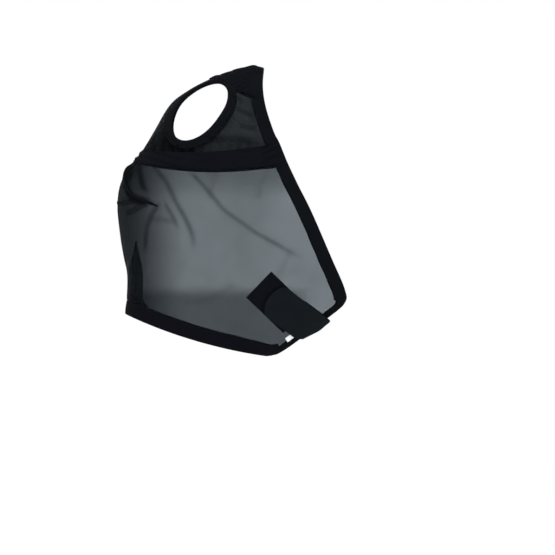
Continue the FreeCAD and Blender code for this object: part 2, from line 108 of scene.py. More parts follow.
def skin(u, v):
    u, v = np.broadcast_arrays(np.asarray(u, float), np.asarray(v, float))
    fy, fz, by, bz, width, wrap, sag = (column(k, u) for k in range(7))
    wrap = np.radians(wrap)
    angle = np.abs(v) * wrap
    share = ((1 - np.cos(angle)) / (1 - np.cos(wrap))) ** FULLNESS
    run = np.hypot(by - fy, bz - fz)
    drop = sag * 4 * share * (1 - share)
    x = np.sign(v) * width * np.sin(angle)
    y = fy + (by - fy) * share + drop * (bz - fz) / run
    z = fz + (bz - fz) * share - drop * (by - fy) / run
    return np.stack([x, y, z], -1)


def unit(a):
    return a / np.maximum(np.linalg.norm(a, axis=-1, keepdims=True), 1e-9)


def slopes_at(u, v):
    su = (skin(u + 0.01, v) - skin(u - 0.01, v)) * 50.0
    sv = (skin(u, v + 0.002) - skin(u, v - 0.002)) * 250.0
    return su, sv


def normal_at(u, v):
    su, sv = slopes_at(u, v)
    return unit(np.cross(su, sv))


def lifted(u, v, lift):
    return skin(u, v) + normal_at(u, v) * np.asarray(lift)[..., None]


def seen_along(u, v, target, across, up, rounds=40):
    """(u, v) of the cloth in line with target, seen square to across and up."""
    for _ in range(rounds):
        gap = target - skin(u, v)
        su, sv = slopes_at(u, v)
        a, b, c, d = su @ across, sv @ across, su @ up, sv @ up
        e, f = gap @ across, gap @ up
        det = a * d - b * c
        det = np.where(np.abs(det) < 1e-6, 1e9, det)
        u = np.clip(u + np.clip((e * d - b * f) / det, -0.3, 0.3), 0, HEM)
        v = np.clip(v + np.clip((a * f - c * e) / det, -0.05, 0.05), 0, 1)
    return u, v


COARSE_U, COARSE_V = (g.ravel() for g in np.meshgrid(np.arange(0, HEM + 0.01, 0.25), np.linspace(0, 1, 21)))
COARSE = skin(COARSE_U, COARSE_V)


def place_on_side(y, z):
    """(u, v) of the point seen at (y, z) from the left."""
    y, z = np.broadcast_arrays(np.asarray(y, float), np.asarray(z, float))
    target = np.stack([np.zeros_like(y), y, z], -1)
    flat = target.reshape(-1, 3)
    best = ((flat[:, None, 1:] - COARSE[None, :, 1:]) ** 2).sum(-1).argmin(1)
    u, v = COARSE_U[best].reshape(y.shape), COARSE_V[best].reshape(y.shape)
    return seen_along(u, v, target, np.array([0.0, 1, 0]), np.array([0.0, 0, 1]))


def nearest(target, u, v, rounds=25):
    for _ in range(rounds):
        gap = target - skin(u, v)
        su, sv = slopes_at(u, v)
        a, b, c = (su * su).sum(-1) + 1e-3, (su * sv).sum(-1), (sv * sv).sum(-1) + 1e-3
        e, f = (su * gap).sum(-1), (sv * gap).sum(-1)
        det = a * c - b * b
        u = np.clip(u + np.clip((c * e - b * f) / det, -0.5, 0.5), 0, HEM)
        v = v + np.clip((a * f - b * e) / det, -0.1, 0.1)
    return u, v


def rear_share(u, inset):
    return 1.0 - inset / (np.linalg.norm(skin(u, 1.0) - skin(u, 0.98), axis=-1) / 0.02)


def middle_share(u, width):
    return width / (np.linalg.norm(skin(u, 0.03) - skin(u, 0.0), axis=-1) / 0.03)


def hem_line(v, inset):
    return HEM - inset / (np.linalg.norm(skin(HEM, v) - skin(HEM - 0.1, v), axis=-1) / 0.1)


# ---------------------------------------------------------------- noise and creases
def smooth(x, low, high):
    t = np.clip((x - low) / (high - low), 0, 1)
    return t * t * (3 - 2 * t)


def ripple(x, y, seed=0):
    """Smooth, repeatable unevenness between about -1 and 1, from a few waves."""
    rng = np.random.default_rng(seed)
    total = 0.0
    for _ in range(7):
        angle, pitch, phase = rng.uniform(0, math.tau), rng.uniform(0.5, 1.9), rng.uniform(0, math.tau)
        total = total + np.sin((x * math.cos(angle) + y * math.sin(angle)) * pitch + phase)
    return total / 3.2


def off_line(y, z, route):
    """Signed distance from a route in side view, and the share of the route passed."""
    route = np.asarray(route, float)
    steps = np.linalg.norm(np.diff(route, axis=0), axis=1)
    marks = np.concatenate([[0], np.cumsum(steps)])
    best = np.full(y.shape, 1e9)
    signed, share = np.zeros(y.shape), np.zeros(y.shape)
    for i, step in enumerate(steps):
        dy, dz = (route[i + 1] - route[i]) / step
        along = (y - route[i, 0]) * dy + (z - route[i, 1]) * dz
        near = np.clip(along, 0, step)
        ey, ez = y - route[i, 0] - near * dy, z - route[i, 1] - near * dz
        distance = np.hypot(ey, ez)
        closer = distance < best
        best = np.where(closer, distance, best)
        signed = np.where(closer, np.copysign(distance, dy * ez - dz * ey), signed)
        share = np.where(closer, (marks[i] + near) / marks[-1], share)
    return signed, share


def crease(y, z, route, height, width, tail=0.25, one_sided=0.0):
    """Height of a fold in the cloth along a route; it fades at both ends."""
    d, s = off_line(y, z, route)
    fade = smooth(s, 0, 0.06) * (1 - smooth(s, 1 - tail, 1.0)) + 0.35 * (s <= 0.06)
    wide = np.where(d > 0, width * (1 + one_sided), width)
    return height * fade * np.exp(-(d / wide) ** 2)


# ---------------------------------------------------------------- mesh building
def make_mesh(name, points, faces, uv=None, marks=None, material=None):
    data = bpy.data.meshes.new(name)
    data.from_pydata((np.asarray(points).reshape(-1, 3) * MM).tolist(), [], faces)
    data.polygons.foreach_set("use_smooth", [True] * len(data.polygons))
    if uv is not None:
        layer = data.uv_layers.new(name="cloth")
        index = np.zeros(len(data.loops), int)
        data.loops.foreach_get("vertex_index", index)
        layer.data.foreach_set("uv", (uv.reshape(-1, 2)[index]).ravel())
    for key, values in (marks or {}).items():
        attribute = data.attributes.new(key, "FLOAT", "POINT")
        attribute.data.foreach_set("value", np.asarray(values, np.float32).ravel())
    data.validate()
    piece = bpy.data.objects.new(name, data)
    bpy.context.scene.collection.objects.link(piece)
    if material is not None:
        data.materials.append(material)
    return piece


def grid_faces(rows, columns, wrap_rows=False, wrap_columns=False, start=0):
    faces = []
    for i in range(rows if wrap_rows else rows - 1):
        for j in range(columns if wrap_columns else columns - 1):
            a = i * columns + j
            b = i * columns + (j + 1) % columns
            c = ((i + 1) % rows) * columns + (j + 1) % columns
            d = ((i + 1) % rows) * columns + j
            faces.append((start + a, start + b, start + c, start + d))
    return faces


def cloth_uv(grid, grain=0.0):
    """Lengths over the cloth, in metres, along and across a weave turned by grain."""
    along = np.cumsum(np.linalg.norm(np.diff(grid, axis=0, prepend=grid[:1]), axis=-1), axis=0)
    over = np.cumsum(np.linalg.norm(np.diff(grid, axis=1, prepend=grid[:, :1]), axis=-1), axis=1)
    turn = math.radians(grain)
    return np.stack([over * math.cos(turn) - along * math.sin(turn),
                     over * math.sin(turn) + along * math.cos(turn)], -1) * MM


def mirror(points):
    return points * np.array([-1.0, 1, 1])


def sheet(name, grid, material, keep=None, marks=None, flip=False, grain=0.0):
    """One layer of cloth from a grid of points; keep marks the grid's points that stay."""
    rows, columns = grid.shape[:2]
    faces = grid_faces(rows, columns)
    points, uv = grid.reshape(-1, 3), cloth_uv(grid, grain).reshape(-1, 2)
    if flip:
        faces = [face[::-1] for face in faces]
    marks = {key: value.ravel() for key, value in (marks or {}).items()}
    if keep is not None:
        inside = keep.ravel()
        faces = [face for face in faces if all(inside[k] for k in face)]
        used = np.zeros(len(points), bool)
        used[np.array(faces).ravel()] = True
        order = np.cumsum(used) - 1
        faces = [tuple(int(order[k]) for k in face) for face in faces]
        points, uv = points[used], uv[used]
        marks = {key: value[used] for key, value in marks.items()}
    return make_mesh(name, points, faces, uv, marks, material)


def slab(name, outer, inner, material, marks=None):
    """Closed piece of cloth between two grids of points."""
    rows, columns = outer.shape[:2]
    count = rows * columns
    faces = grid_faces(rows, columns)
    faces += [face[::-1] for face in grid_faces(rows, columns, start=count)]
    rim = [(i, 0) for i in range(rows)] + [(rows - 1, j) for j in range(1, columns)]
    rim += [(i, columns - 1) for i in range(rows - 2, -1, -1)] + [(0, j) for j in range(columns - 2, 0, -1)]
    rim = [i * columns + j for i, j in rim]
    for a, b in zip(rim, rim[1:] + rim[:1]):
        faces.append((b, a, a + count, b + count))
    uv = cloth_uv(outer)
    points = np.concatenate([outer.reshape(-1, 3), inner.reshape(-1, 3)])
    marks = {key: np.concatenate([value.ravel()] * 2) for key, value in (marks or {}).items()}
    return make_mesh(name, points, faces, np.concatenate([uv.reshape(-1, 2)] * 2), marks, material)


def tube_of_rails(name, rails, material, closed=False, uv=None):
    """Closed skin over rails: rails[k] is one long line; the ring of rails closes."""
    grid = np.stack(rails, 1)
    rows, columns = grid.shape[:2]
    faces = grid_faces(rows, columns, wrap_rows=closed, wrap_columns=True)
    if not closed:
        half = columns // 2
        for start, turn in ((0, 1), ((rows - 1) * columns, -1)):
            for k in range(half - 1):
                face = [start + k, start + k + 1, start + columns - 2 - k, start + columns - 1 - k]
                faces.append(tuple(face[::-turn]))
    return make_mesh(name, grid.reshape(-1, 3), faces, uv, None, material)


def arc_length(points):
    return np.concatenate([[0], np.cumsum(np.linalg.norm(np.diff(points, axis=0), axis=1))])


def even(points_uv, spacing, closed=False):
    """A route of (u, v) places, spaced evenly over the cloth."""
    u, v = points_uv
    if closed:
        u, v = np.append(u, u[0]), np.append(v, v[0])
    length = arc_length(skin(u, v))
    count = max(int(length[-1] / spacing), 4)
    at = np.linspace(0, length[-1], count + 1)
    if closed:
        at = at[:-1]
    return np.interp(at, length, u), np.interp(at, length, v), at


def inward_of(u, v, flip, closed=False):
    """Direction over the cloth, away from the edge that a route follows."""
    p, n = skin(u, v), normal_at(u, v)
    if closed:
        tangent = np.roll(p, -1, 0) - np.roll(p, 1, 0)
    else:
        tangent = np.gradient(p, axis=0)
    return p, n, unit(np.cross(n, tangent) * flip)


def reach_in(u, v, flip, reach, closed=False):
    """(u, v) at a distance from the route, over the cloth."""
    p, _, inward = inward_of(u, v, flip, closed)
    return nearest(p + inward * (reach + 0 * u)[:, None], u, v)


def thread(name, runs, material, length=2.7, gap=0.9, radius=0.28):
    """Rows of stitches. Each run is points and outward normals of a seam line."""
    points, faces = [], []
    sides = 6
    turn = np.arange(sides) * math.tau / sides
    for line, normals in runs:
        marks = arc_length(line)
        start = gap
        while start + length < marks[-1]:
            at = start + np.array([0.0, 0.18, 0.5, 0.82, 1.0]) * length
            centre = np.stack([np.interp(at, marks, line[:, k]) for k in range(3)], -1)
            out = unit(np.stack([np.interp(at, marks, normals[:, k]) for k in range(3)], -1))
            way = unit(centre[-1:] - centre[:1])
            side = unit(np.cross(out, way))
            swell = np.array([0.35, 0.9, 1.0, 0.9, 0.35]) * radius
            sink = np.array([-0.30, -0.02, 0.1, -0.02, -0.30])
            centre = centre + out * sink[:, None]
            round_way = (side[:, None] * np.cos(turn)[None, :, None]
                         + out[:, None] * np.sin(turn)[None, :, None])
            ring = centre[:, None] + round_way * swell[:, None, None]
            base = len(points)
            points.extend(ring.reshape(-1, 3).tolist())
            faces += grid_faces(len(swell), sides, wrap_columns=True, start=base)
            faces.append(tuple(base + k for k in range(sides))[::-1])
            faces.append(tuple(base + 4 * sides + k for k in range(sides)))
            start += length + gap
    return make_mesh(name, np.array(points), faces, None, None, material)


# ---------------------------------------------------------------- finishes
class Finish:
    """A node material: a few shorthands round one Principled shader."""

    def __init__(self, name, color, roughness=0.9, sheen=0.0, specular=0.3):
        self.material = bpy.data.materials.new(name)
        self.material.use_nodes = True
        self.tree = self.material.node_tree
        self.shader = self.tree.nodes["Principled BSDF"]
        self.output = self.tree.nodes["Material Output"]
        self.set(self.shader, "Base Color", (*color, 1))
        self.set(self.shader, "Roughness", roughness)
        self.set(self.shader, "Specular IOR Level", specular)
        self.set(self.shader, "Sheen Weight", sheen)
        self.set(self.shader, "Sheen Roughness", 0.5)
        self.color = color

    def set(self, node, key, value):
        if isinstance(value, bpy.types.NodeSocket):
            self.tree.links.new(value, node.inputs[key])
        elif value is not None:
            node.inputs[key].default_value = value

    def node(self, kind, out=0, inputs=None, **settings):
        made = self.tree.nodes.new(kind)
        for key, value in settings.items():
            setattr(made, key, value)
        for key, value in (inputs or {}).items():
            self.set(made, key, value)
        return made.outputs[out]

    def math(self, operation, *values):
        made = self.tree.nodes.new("ShaderNodeMath")
        made.operation = operation
        for k, value in enumerate(values):
            self.set(made, k, value)
        return made.outputs[0]

    def uv(self):
        split = self.tree.nodes.new("ShaderNodeSeparateXYZ")
        self.set(split, 0, self.node("ShaderNodeUVMap", uv_map="cloth"))
        return split.outputs[0], split.outputs[1]

    def place(self):
        return self.node("ShaderNodeTexCoord", out=3)

    def noise(self, scale, detail=3.0, coords=None):
        return self.node("ShaderNodeTexNoise", inputs={
            "Vector": coords or self.place(), "Scale": scale, "Detail": detail, "Roughness": 0.6})

    def mark(self, name):
        return self.node("ShaderNodeAttribute", out=2, attribute_name=name)

    def span(self, value, a, b, c, d, smooth_it=False):
        kind = "SMOOTHSTEP" if smooth_it else "LINEAR"
        return self.node("ShaderNodeMapRange", interpolation_type=kind, inputs={
            "Value": value, "From Min": a, "From Max": b, "To Min": c, "To Max": d})

    def tint(self, share, low, high):
        """Color between two shades of the base color."""
        mix = self.tree.nodes.new("ShaderNodeMix")
        mix.data_type = "RGBA"
        self.set(mix, 0, share)
        mix.inputs[6].default_value = (*[c * low for c in self.color], 1)
        mix.inputs[7].default_value = (*[c * high for c in self.color], 1)
        self.set(self.shader, "Base Color", mix.outputs[2])

    def bump(self, height, distance, strength=1.0):
        self.set(self.shader, "Normal", self.node("ShaderNodeBump", inputs={
            "Height": height, "Distance": distance, "Strength": strength}))

    def ridge(self, value, pitch, sharp=1.0):
        """0 to 1 wave with one crest each pitch."""
        wave = self.math("SINE", self.math("MULTIPLY", value, math.tau / pitch))
        wave = self.math("MULTIPLY_ADD", wave, 0.5, 0.5)
        return wave if sharp == 1.0 else self.math("POWER", wave, sharp)


def net(name, color, pitch, yarn, hole, solid):
    """See-through woven mesh: square holes between yarns, closed up where its density mark is high; that mark
    carries painted shade as well as real density.
    """
    f = Finish(name, color, roughness=0.8, sheen=0.002, specular=0.015)
    covers = []
    for way in f.uv():
        cell = f.math("FRACT", f.math("MULTIPLY", way, 1.0 / pitch))
        off = f.math("MULTIPLY", f.math("ABSOLUTE", f.math("SUBTRACT", cell, 0.5)), 2.0)
        covers.append(f.span(off, 1 - yarn - 0.08, 1 - yarn + 0.08, 0.0, 1.0, True))
    weave = f.math("MAXIMUM", *covers)
    clear = f.span(weave, 0.0, 1.0, hole, solid)
    clear = f.math("MULTIPLY", clear, f.math("SUBTRACT", 1.0, f.mark("density_and_shade")))
    clear = f.math("MULTIPLY", clear, f.span(f.noise(26.0, 3.0), 0.25, 0.75, 0.93, 1.07))
    # Painted shade: where the mark is high the yarn colour is painted darker, and elsewhere it keeps its
    # random tone.
    loose = f.span(f.mark("density_and_shade"), 0.5, 1.0, 1.0, 0.0)
    f.tint(f.math("MULTIPLY", f.noise(60.0, 4.0), loose), 0.25, 1.75)
    f.bump(f.math("MULTIPLY", f.math("ADD", *covers), 0.5), 0.0003, 0.8)
    mix = f.tree.nodes.new("ShaderNodeMixShader")
    f.set(mix, 0, f.math("SUBTRACT", 1.0, clear))
    # The holes give what shows through them a painted cool blue cast, standing in for shade behind the mesh.
    gaps = f.node("ShaderNodeBsdfTransparent", inputs={"Color": (0.90, 0.965, 1.0, 1)})
    f.tree.links.new(gaps, mix.inputs[1])
    f.tree.links.new(f.shader.outputs[0], mix.inputs[2])
    f.tree.links.new(mix.outputs[0], f.output.inputs[0])
    return f.material


def tape(name, color, pitch, depth, roughness=0.85, sheen=0.002, ribbed=False):
    """Close woven tape; a ribbed one has cords running along it."""
    f = Finish(name, color, roughness=roughness, sheen=sheen, specular=0.015)
    x, y = f.uv()
    if ribbed:
        weave = f.math("MULTIPLY_ADD", f.ridge(y, pitch * 0.5), 0.25, f.ridge(x, pitch, 0.6))
    else:
        weave = f.math("ADD", f.math("MULTIPLY", f.ridge(x, pitch), f.ridge(y, pitch * 1.3)),
                       f.math("MULTIPLY", f.noise(900.0, 2.0), 0.4))
    f.tint(f.math("MULTIPLY_ADD", weave, 0.4, f.math("MULTIPLY", f.noise(35.0, 4.0), 0.6)), 0.6, 1.5)
    f.bump(weave, depth)
    return f.material


def pile(name, color, scale, depth, sheen=0.002):
    """Fuzzy loops, felt or fleece."""
    f = Finish(name, color, roughness=0.95, sheen=sheen, specular=0.015)
    tufts = f.node("ShaderNodeTexVoronoi", inputs={"Vector": f.place(), "Scale": scale})
    fine = f.noise(scale * 2.2, 3.0)
    height = f.math("ADD", f.math("SUBTRACT", 1.0, tufts), f.math("MULTIPLY", fine, 0.6))
    f.tint(f.math("MULTIPLY_ADD", height, 0.35, f.math("MULTIPLY", f.noise(30.0, 3.0), 0.5)), 0.55, 1.5)
    f.bump(height, depth)
    return f.material


def hooks(name, color, pitch):
    """Rows of small stiff hooks."""
    f = Finish(name, color, roughness=0.6, specular=0.03)
    x, y = f.uv()
    dots = f.math("MULTIPLY", f.ridge(x, pitch, 2.0), f.ridge(y, pitch, 2.0))
    f.tint(dots, 0.6, 2.2)
    f.bump(dots, 0.0006)
    return f.material


def yarn(name, color):
    f = Finish(name, color, roughness=0.6, sheen=0.002, specular=0.03)
    twist = f.node("ShaderNodeTexWave", inputs={"Vector": f.place(), "Scale": 900.0, "Distortion": 1.0})
    f.tint(twist, 0.7, 1.4)
    f.bump(twist, 0.0001)
    return f.material


BLACK = (0.0024, 0.0030, 0.0042)
FACE_MESH = net("face_mesh", (0.0042, 0.0056, 0.0075), 0.0012, 0.29, 0.67, 0.16)
CROWN_MESH = net("crown_mesh", (0.0030, 0.0037, 0.0046), 0.0011, 0.42, 0.34, 0.06)
POLL_CLOTH = tape("poll_cloth", (0.0028, 0.0032, 0.0046), 0.0011, 0.0002, 0.9)
BINDING = tape("binding", BLACK, 0.0010, 0.00015, 0.8)
HEM_TAPE = tape("hem_binding", (0.0024, 0.0025, 0.0040), 0.0011, 0.00018, 0.85)
BAND = tape("band_tape", (0.0027, 0.0032, 0.0048), 0.0013, 0.0002, 0.85)
ELASTIC = tape("elastic", (0.010, 0.011, 0.014), 0.0016, 0.00035, 0.8, ribbed=True)
STRAP_CLOTH = tape("strap_tape", (0.0042, 0.0058, 0.0072), 0.0012, 0.0002, 0.8, 0.006)
LOOP = pile("loop_tape", (0.0030, 0.0034, 0.0052), 1500.0, 0.0005)
HOOK = hooks("hook_tape", (0.004, 0.0045, 0.006), 0.0018)
FLEECE = pile("pad_fleece", (0.0022, 0.0027, 0.0034), 420.0, 0.0012)
THREAD = yarn("thread", (0.0045, 0.0052, 0.0066))
LABEL = tape("label", (0.62, 0.63, 0.64), 0.0005, 0.00008, 0.7)

# ---------------------------------------------------------------- the ear holes
EAR_U, EAR_V = place_on_side(*EAR_PLACE)
EAR_MIDDLE, EAR_OUT = skin(EAR_U, EAR_V), normal_at(EAR_U, EAR_V)
EAR_UP = unit(np.array([0, 0, 1.0]) - EAR_OUT * EAR_OUT[2])
EAR_AHEAD = np.cross(EAR_OUT, EAR_UP)
TILT = math.radians(EAR_TILT)
EAR_LONG = EAR_UP * math.cos(TILT) - EAR_AHEAD * math.sin(TILT)
EAR_SHORT = EAR_AHEAD * math.cos(TILT) + EAR_UP * math.sin(TILT)


def ear_reach(points):
    """Distance outside the left ear hole's edge, roughly; below 0 inside the hole."""
    away = points - EAR_MIDDLE
    long, short = away @ EAR_LONG, away @ EAR_SHORT
    ring = np.hypot(long / (EAR_LENGTH / 2), short / (EAR_WIDTH / 2))
    near = np.abs(away @ EAR_OUT) < 60
    size = np.hypot(long, short) / np.maximum(ring, 1e-3)
    return np.where(near, (ring - 1) * size, 99.0)


def ear_route(count=240):
    turn = np.arange(count) * math.tau / count
    outline = (EAR_MIDDLE + EAR_LONG * (EAR_LENGTH / 2 * np.cos(turn))[:, None]
               + EAR_SHORT * (EAR_WIDTH / 2 * np.sin(turn))[:, None])
    u, v = np.full(count, float(EAR_U)), np.full(count, float(EAR_V))
    for share in np.linspace(0.1, 1.0, 10):
        target = EAR_MIDDLE + (outline - EAR_MIDDLE) * share
        u, v = seen_along(u, v, target, EAR_LONG, EAR_SHORT, 12)
    return seen_along(u, v, outline, EAR_LONG, EAR_SHORT)


# ---------------------------------------------------------------- creases of the mesh
# Routes in side view (y, z): the cloth folds at the eye dart and pulls from it. Each crease also darkens the
# mesh, as cloth lying double at the dart and as painted shade along the others.
FOLDS = [
    (((-150, -113), (-162, -128), (-171, -146), (-171, -164), (-166, -176), (-156, -181), (-144, -182),
      (-131, -186)),
     4.5, 6.5, 1.0),
    (((-186, -187), (-170, -184), (-158, -183), (-140, -185)), 2.4, 3.0, 0.85),
    (((-172, -200), (-162, -195), (-152, -189), (-140, -186)), 2.0, 2.8, 0.75),
    (((-128, -187), (-138, -204), (-144, -220), (-146, -240), (-148, -262)), 2.6, 3.2, 0.55),
    (((-152, -113), (-154, -140), (-149, -162), (-140, -176)), 2.0, 6.0, 0.62),
    (((-156, -113), (-165, -135), (-168, -160)), 1.5, 7.0, 0.85),
    (((-139, -128), (-116, -158), (-104, -184), (-92, -204), (-82, -226), (-78, -256)), 2.6, 4.6, 0.34),
    (((-84, -143), (-70, -157), (-36, -197), (8, -228), (80, -268)), 2.6, 4.2, 0.27),
    (((-118, -187), (-106, -206), (-100, -222)), 1.6, 3.2, 0.3),
    (((-136, -206), (-118, -208), (-102, -211)), 1.4, 3.2, 0.26),
    (((-40, -134), (-52, -160), (-58, -190)), 1.2, 5.0, 0.10),
    (((30, -128), (16, -160), (10, -190)), 1.2, 6.0, 0.08),
    (((-20, -300), (-60, -322), (-100, -330)), 1.4, 6.0, 0.08),
    (((60, -250), (40, -290), (10, -310)), 1.3, 6.0, 0.08),
]


def face_relief(p, seed):
    """Height over the head, and the face mesh's density with painted shade along its creases, at its places
    in side view.
    """
    y, z = p[..., 1], p[..., 2]
    height, density_and_shade = np.zeros(y.shape), np.zeros(y.shape)
    rng = np.random.default_rng(seed)
    for route, high, width, fold_density_and_shade in FOLDS:
        shift = rng.normal(0, 1.5, 2) if seed else (0, 0)
        fold = crease(y - shift[0], z - shift[1], route, 1.0, width, one_sided=0.8)
        height += fold * high
        # Darker along each crease: cloth lying double at the eye dart, painted shade along the rest.
        density_and_shade += crease(y - shift[0], z - shift[1], route, 1.0, width * 0.7) * fold_density_and_shade
    height += 0.8 * ripple(y / 34, z / 30, seed + 4) + 0.35 * ripple(y / 13, z / 15, seed + 5)
    return height, density_and_shade


def face_mesh(seed):
    rows, columns = 150, 150
    b = np.linspace(0, 1, columns)
    a = np.linspace(0, 1, rows)[:, None]
    start = BROW_TOP + 0.5
    low = middle_share(start + a * (HEM - start), 0.6)
    u = start + a * (hem_line(b, 1.4) - start)
    v = low + b * (rear_share(u, 1.4) - low)
    base = skin(u, v)
    height, density_and_shade = face_relief(base, seed)
    gather = smooth(u, BROW_LOW + 1.1, BROW_LOW)
    height += gather * 1.0 * np.sin(v * 150 + 2.0 * ripple(v * 9, u, seed))
    y, z = base[..., 1], base[..., 2]
    # Painted shade: the mesh is closed up and darkened towards the front, at the bottom of the cheek and
    # under the brow, and opened a little towards the back.
    openness_with_shade = (0.24 + 0.76 * smooth(y, -182, -82)) * (1 - 0.36 * smooth(-z, 299, 321) * smooth(y, 90, 60))
    openness_with_shade *= 1 - 0.22 * smooth(z, -185, -145) + 0.06 * smooth(y, 0, 60)
    edge = smooth(v, 0.0, 0.05) * smooth(1 - v, 0.0, 0.10) * smooth(HEM_TOP - u, -0.1, 0.35)
    edge *= 0.25 + 0.75 * smooth(u, BROW_LOW, BROW_LOW + 0.5)
    density_and_shade = 1 - openness_with_shade * np.clip(1 - density_and_shade, 0, 1)
    return lifted(u, v, 0.45 + np.maximum(height, -0.4) * edge), density_and_shade


pieces = []


def finished(piece, body, slot, *nodes):
    if body:
        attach(piece, body)
    if nodes:
        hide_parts(*nodes)
    pieces.append(piece)
    return piece


grid, density_and_shade = face_mesh(0)
left_face = finished(sheet("left_face", grid, FACE_MESH, marks={"density_and_shade": density_and_shade}, grain=22),
                     "mask", "face_mesh", "left_face_mesh")
grid, density_and_shade = face_mesh(7)
right_face = finished(sheet("right_face", mirror(grid), FACE_MESH, marks={"density_and_shade": density_and_shade}, flip=True,
                            grain=-22),
                      "mask", "face_mesh", "right_face_mesh")


def crown_grid(seed):
    rows, columns = 120, 110
    a, b = np.linspace(0, 1, rows)[:, None], np.linspace(0, 1, columns)
    u = POLL - 0.05 + a * (BROW_TOP + 0.4 - POLL)
    low = middle_share(u, 26.0)
    v = low + b * (rear_share(u, 1.4) - low)
    base = skin(u, v)
    y, z = base[..., 1], base[..., 2]
    reach = ear_reach(base)
    ring = smooth(reach, 24, 8) * smooth(u, 5.0, 6.2)
    turn = np.arctan2((base - EAR_MIDDLE) @ EAR_LONG, (base - EAR_MIDDLE) @ EAR_SHORT)
    height = 1.1 * ring * np.sin(turn * 26 + 1.6 * ripple(turn * 2, reach / 12, seed))
    gather = smooth(u, 6.7, 7.7)
    height += gather * 0.9 * np.sin(y / 2.1 + 1.5 * ripple(y / 20, z / 20, seed + 1))
    fold_shadows = 0 * height
    for route, high, width in (
            (((-24, -36), (-11, -46)), 1.8, 2.6), (((-25, -52), (5, -67)), 2.4, 3.0),
            (((-17, -78), (9, -84)), 1.8, 2.6), (((-60, -98), (-20, -96), (10, -104)), 1.6, 5.0)):
        height += crease(y, z, route, high, width)
        fold_shadows += crease(y - 1.5, z - 1.5, route, 1.0, width * 0.8)
    height += 0.5 * ripple(y / 11, z / 11, seed + 2)
    edge = smooth(1 - v, 0.0, 0.08) * smooth(v - low, 0.0, 0.03)
    # Denser where the cloth gathers round the ear and under the brow; painted shadows beside the creases (the
    # shifted fold lines) and painted shade in the hollows; and darker towards the front and over a patch
    # further back.
    density_and_shade = 0.25 * ring + 0.25 * gather + 0.5 * fold_shadows + 0.25 * np.clip(-height, 0, 2)
    density_and_shade = density_and_shade + 0.5 * smooth(y, -60, -95)
    density_and_shade = density_and_shade + 0.22 * smooth(y, -8, 14) * smooth(z, -95, -70)
    return lifted(u, v, 0.5 + np.maximum(height, -0.4) * edge), density_and_shade, reach > 3.0


for side, seed in (("left", 11), ("right", 19)):
    grid, density_and_shade, keep = crown_grid(seed)
    if side == "right":
        grid = mirror(grid)
    piece = sheet(side + "_crown", grid, CROWN_MESH, keep, {"density_and_shade": density_and_shade}, side == "right", grain=seed * 3)
    finished(piece, "mask", "crown_mesh", side + "_crown_mesh")


def clear_of_ears(points):
    return (ear_reach(points) > 3.0) & (ear_reach(mirror(points)) > 3.0)


def forelock_strip():
    rows, columns = 90, 40
    u = np.linspace(POLL - 0.05, BROW_TOP + 0.4, rows)[:, None] + np.zeros(columns)
    v = middle_share(u, 27.0) * np.linspace(-1, 1, columns)
    base = skin(u, v)
    x = base[..., 0]
    height = 0.7 * ripple(x / 9, u * 2.2, 23) + 0.6 * smooth(u, 6.9, 7.8) * np.sin(x / 2.0)
    height *= smooth(27 - np.abs(x), 0, 5)
    marks = {"density_and_shade": 0.3 + 0 * u}
    cloth = sheet("forelock", lifted(u, v, 0.75 + height), CROWN_MESH, clear_of_ears(base), marks)
    return finished(cloth, "mask", "crown_mesh", "forelock_panel")


forelock = forelock_strip()


# ---------------------------------------------------------------- the poll
def poll_cloths():
    """The ruched outer cloth of the poll band and the plain cloth under it."""
    rows, columns = 90, 260
    u = np.linspace(0.2, POLL + 0.12, rows)[:, None] + np.zeros(columns)
    v = rear_share(u, 3.0) * np.linspace(-1, 1, columns)
    around = v * column(4, u) * 1.6
    ruche = np.sin(around / 2.3 + 1.8 * ripple(around / 16, u * 0.9, 31))
    height = 1.3 * np.abs(ruche) ** 0.7 * smooth(u, 0.3, 1.2) + 0.8 * ripple(around / 10, u * 1.5, 32)
    height += 2.0 * np.exp(-((u - 0.9) / 0.55) ** 2) + 0.9 * np.exp(-((u - POLL + 0.2) / 0.3) ** 2)
    pinch = sum(np.exp(-((u - line) / 0.15) ** 2) for line in POLL_ELASTIC)
    height *= 1 - 0.6 * np.minimum(pinch, 1)
    height *= smooth(1 - np.abs(v), 0.0, 0.08)
    keep = clear_of_ears(skin(u, v))
    outer = sheet("poll_ruche", lifted(u, v, 1.1 + np.maximum(height, 0)), POLL_CLOTH, keep)
    outer = finished(outer, "mask", "poll_cloth", "poll_band")
    inner = sheet("poll_lining", lifted(u, v, 0.2 + 0 * u), POLL_CLOTH, keep, flip=True)
    return outer, finished(inner, "mask", "poll_cloth")


poll, poll_lining = poll_cloths()


# ---------------------------------------------------------------- bindings
def section(width):
    """Outline of a folded tape round a cloth edge: reach over the cloth and lift."""
    w = width
    return [
        (w, 0.75), (w - 0.35, 1.35), (w - 1.4, 1.62), (w - 2.6, 1.45), (w - 4.2, 1.85), (w * 0.6, 2.2),
        (w * 0.3, 2.38), (1.8, 2.3), (0.7, 1.95), (0.05, 1.3), (-0.15, 0.6), (0.05, -0.1), (0.7, -0.75),
        (1.8, -1.1), (w * 0.3, -1.2), (w * 0.6, -1.1), (w - 2.6, -0.4), (w - 0.35, -0.5), (w, -0.1)]


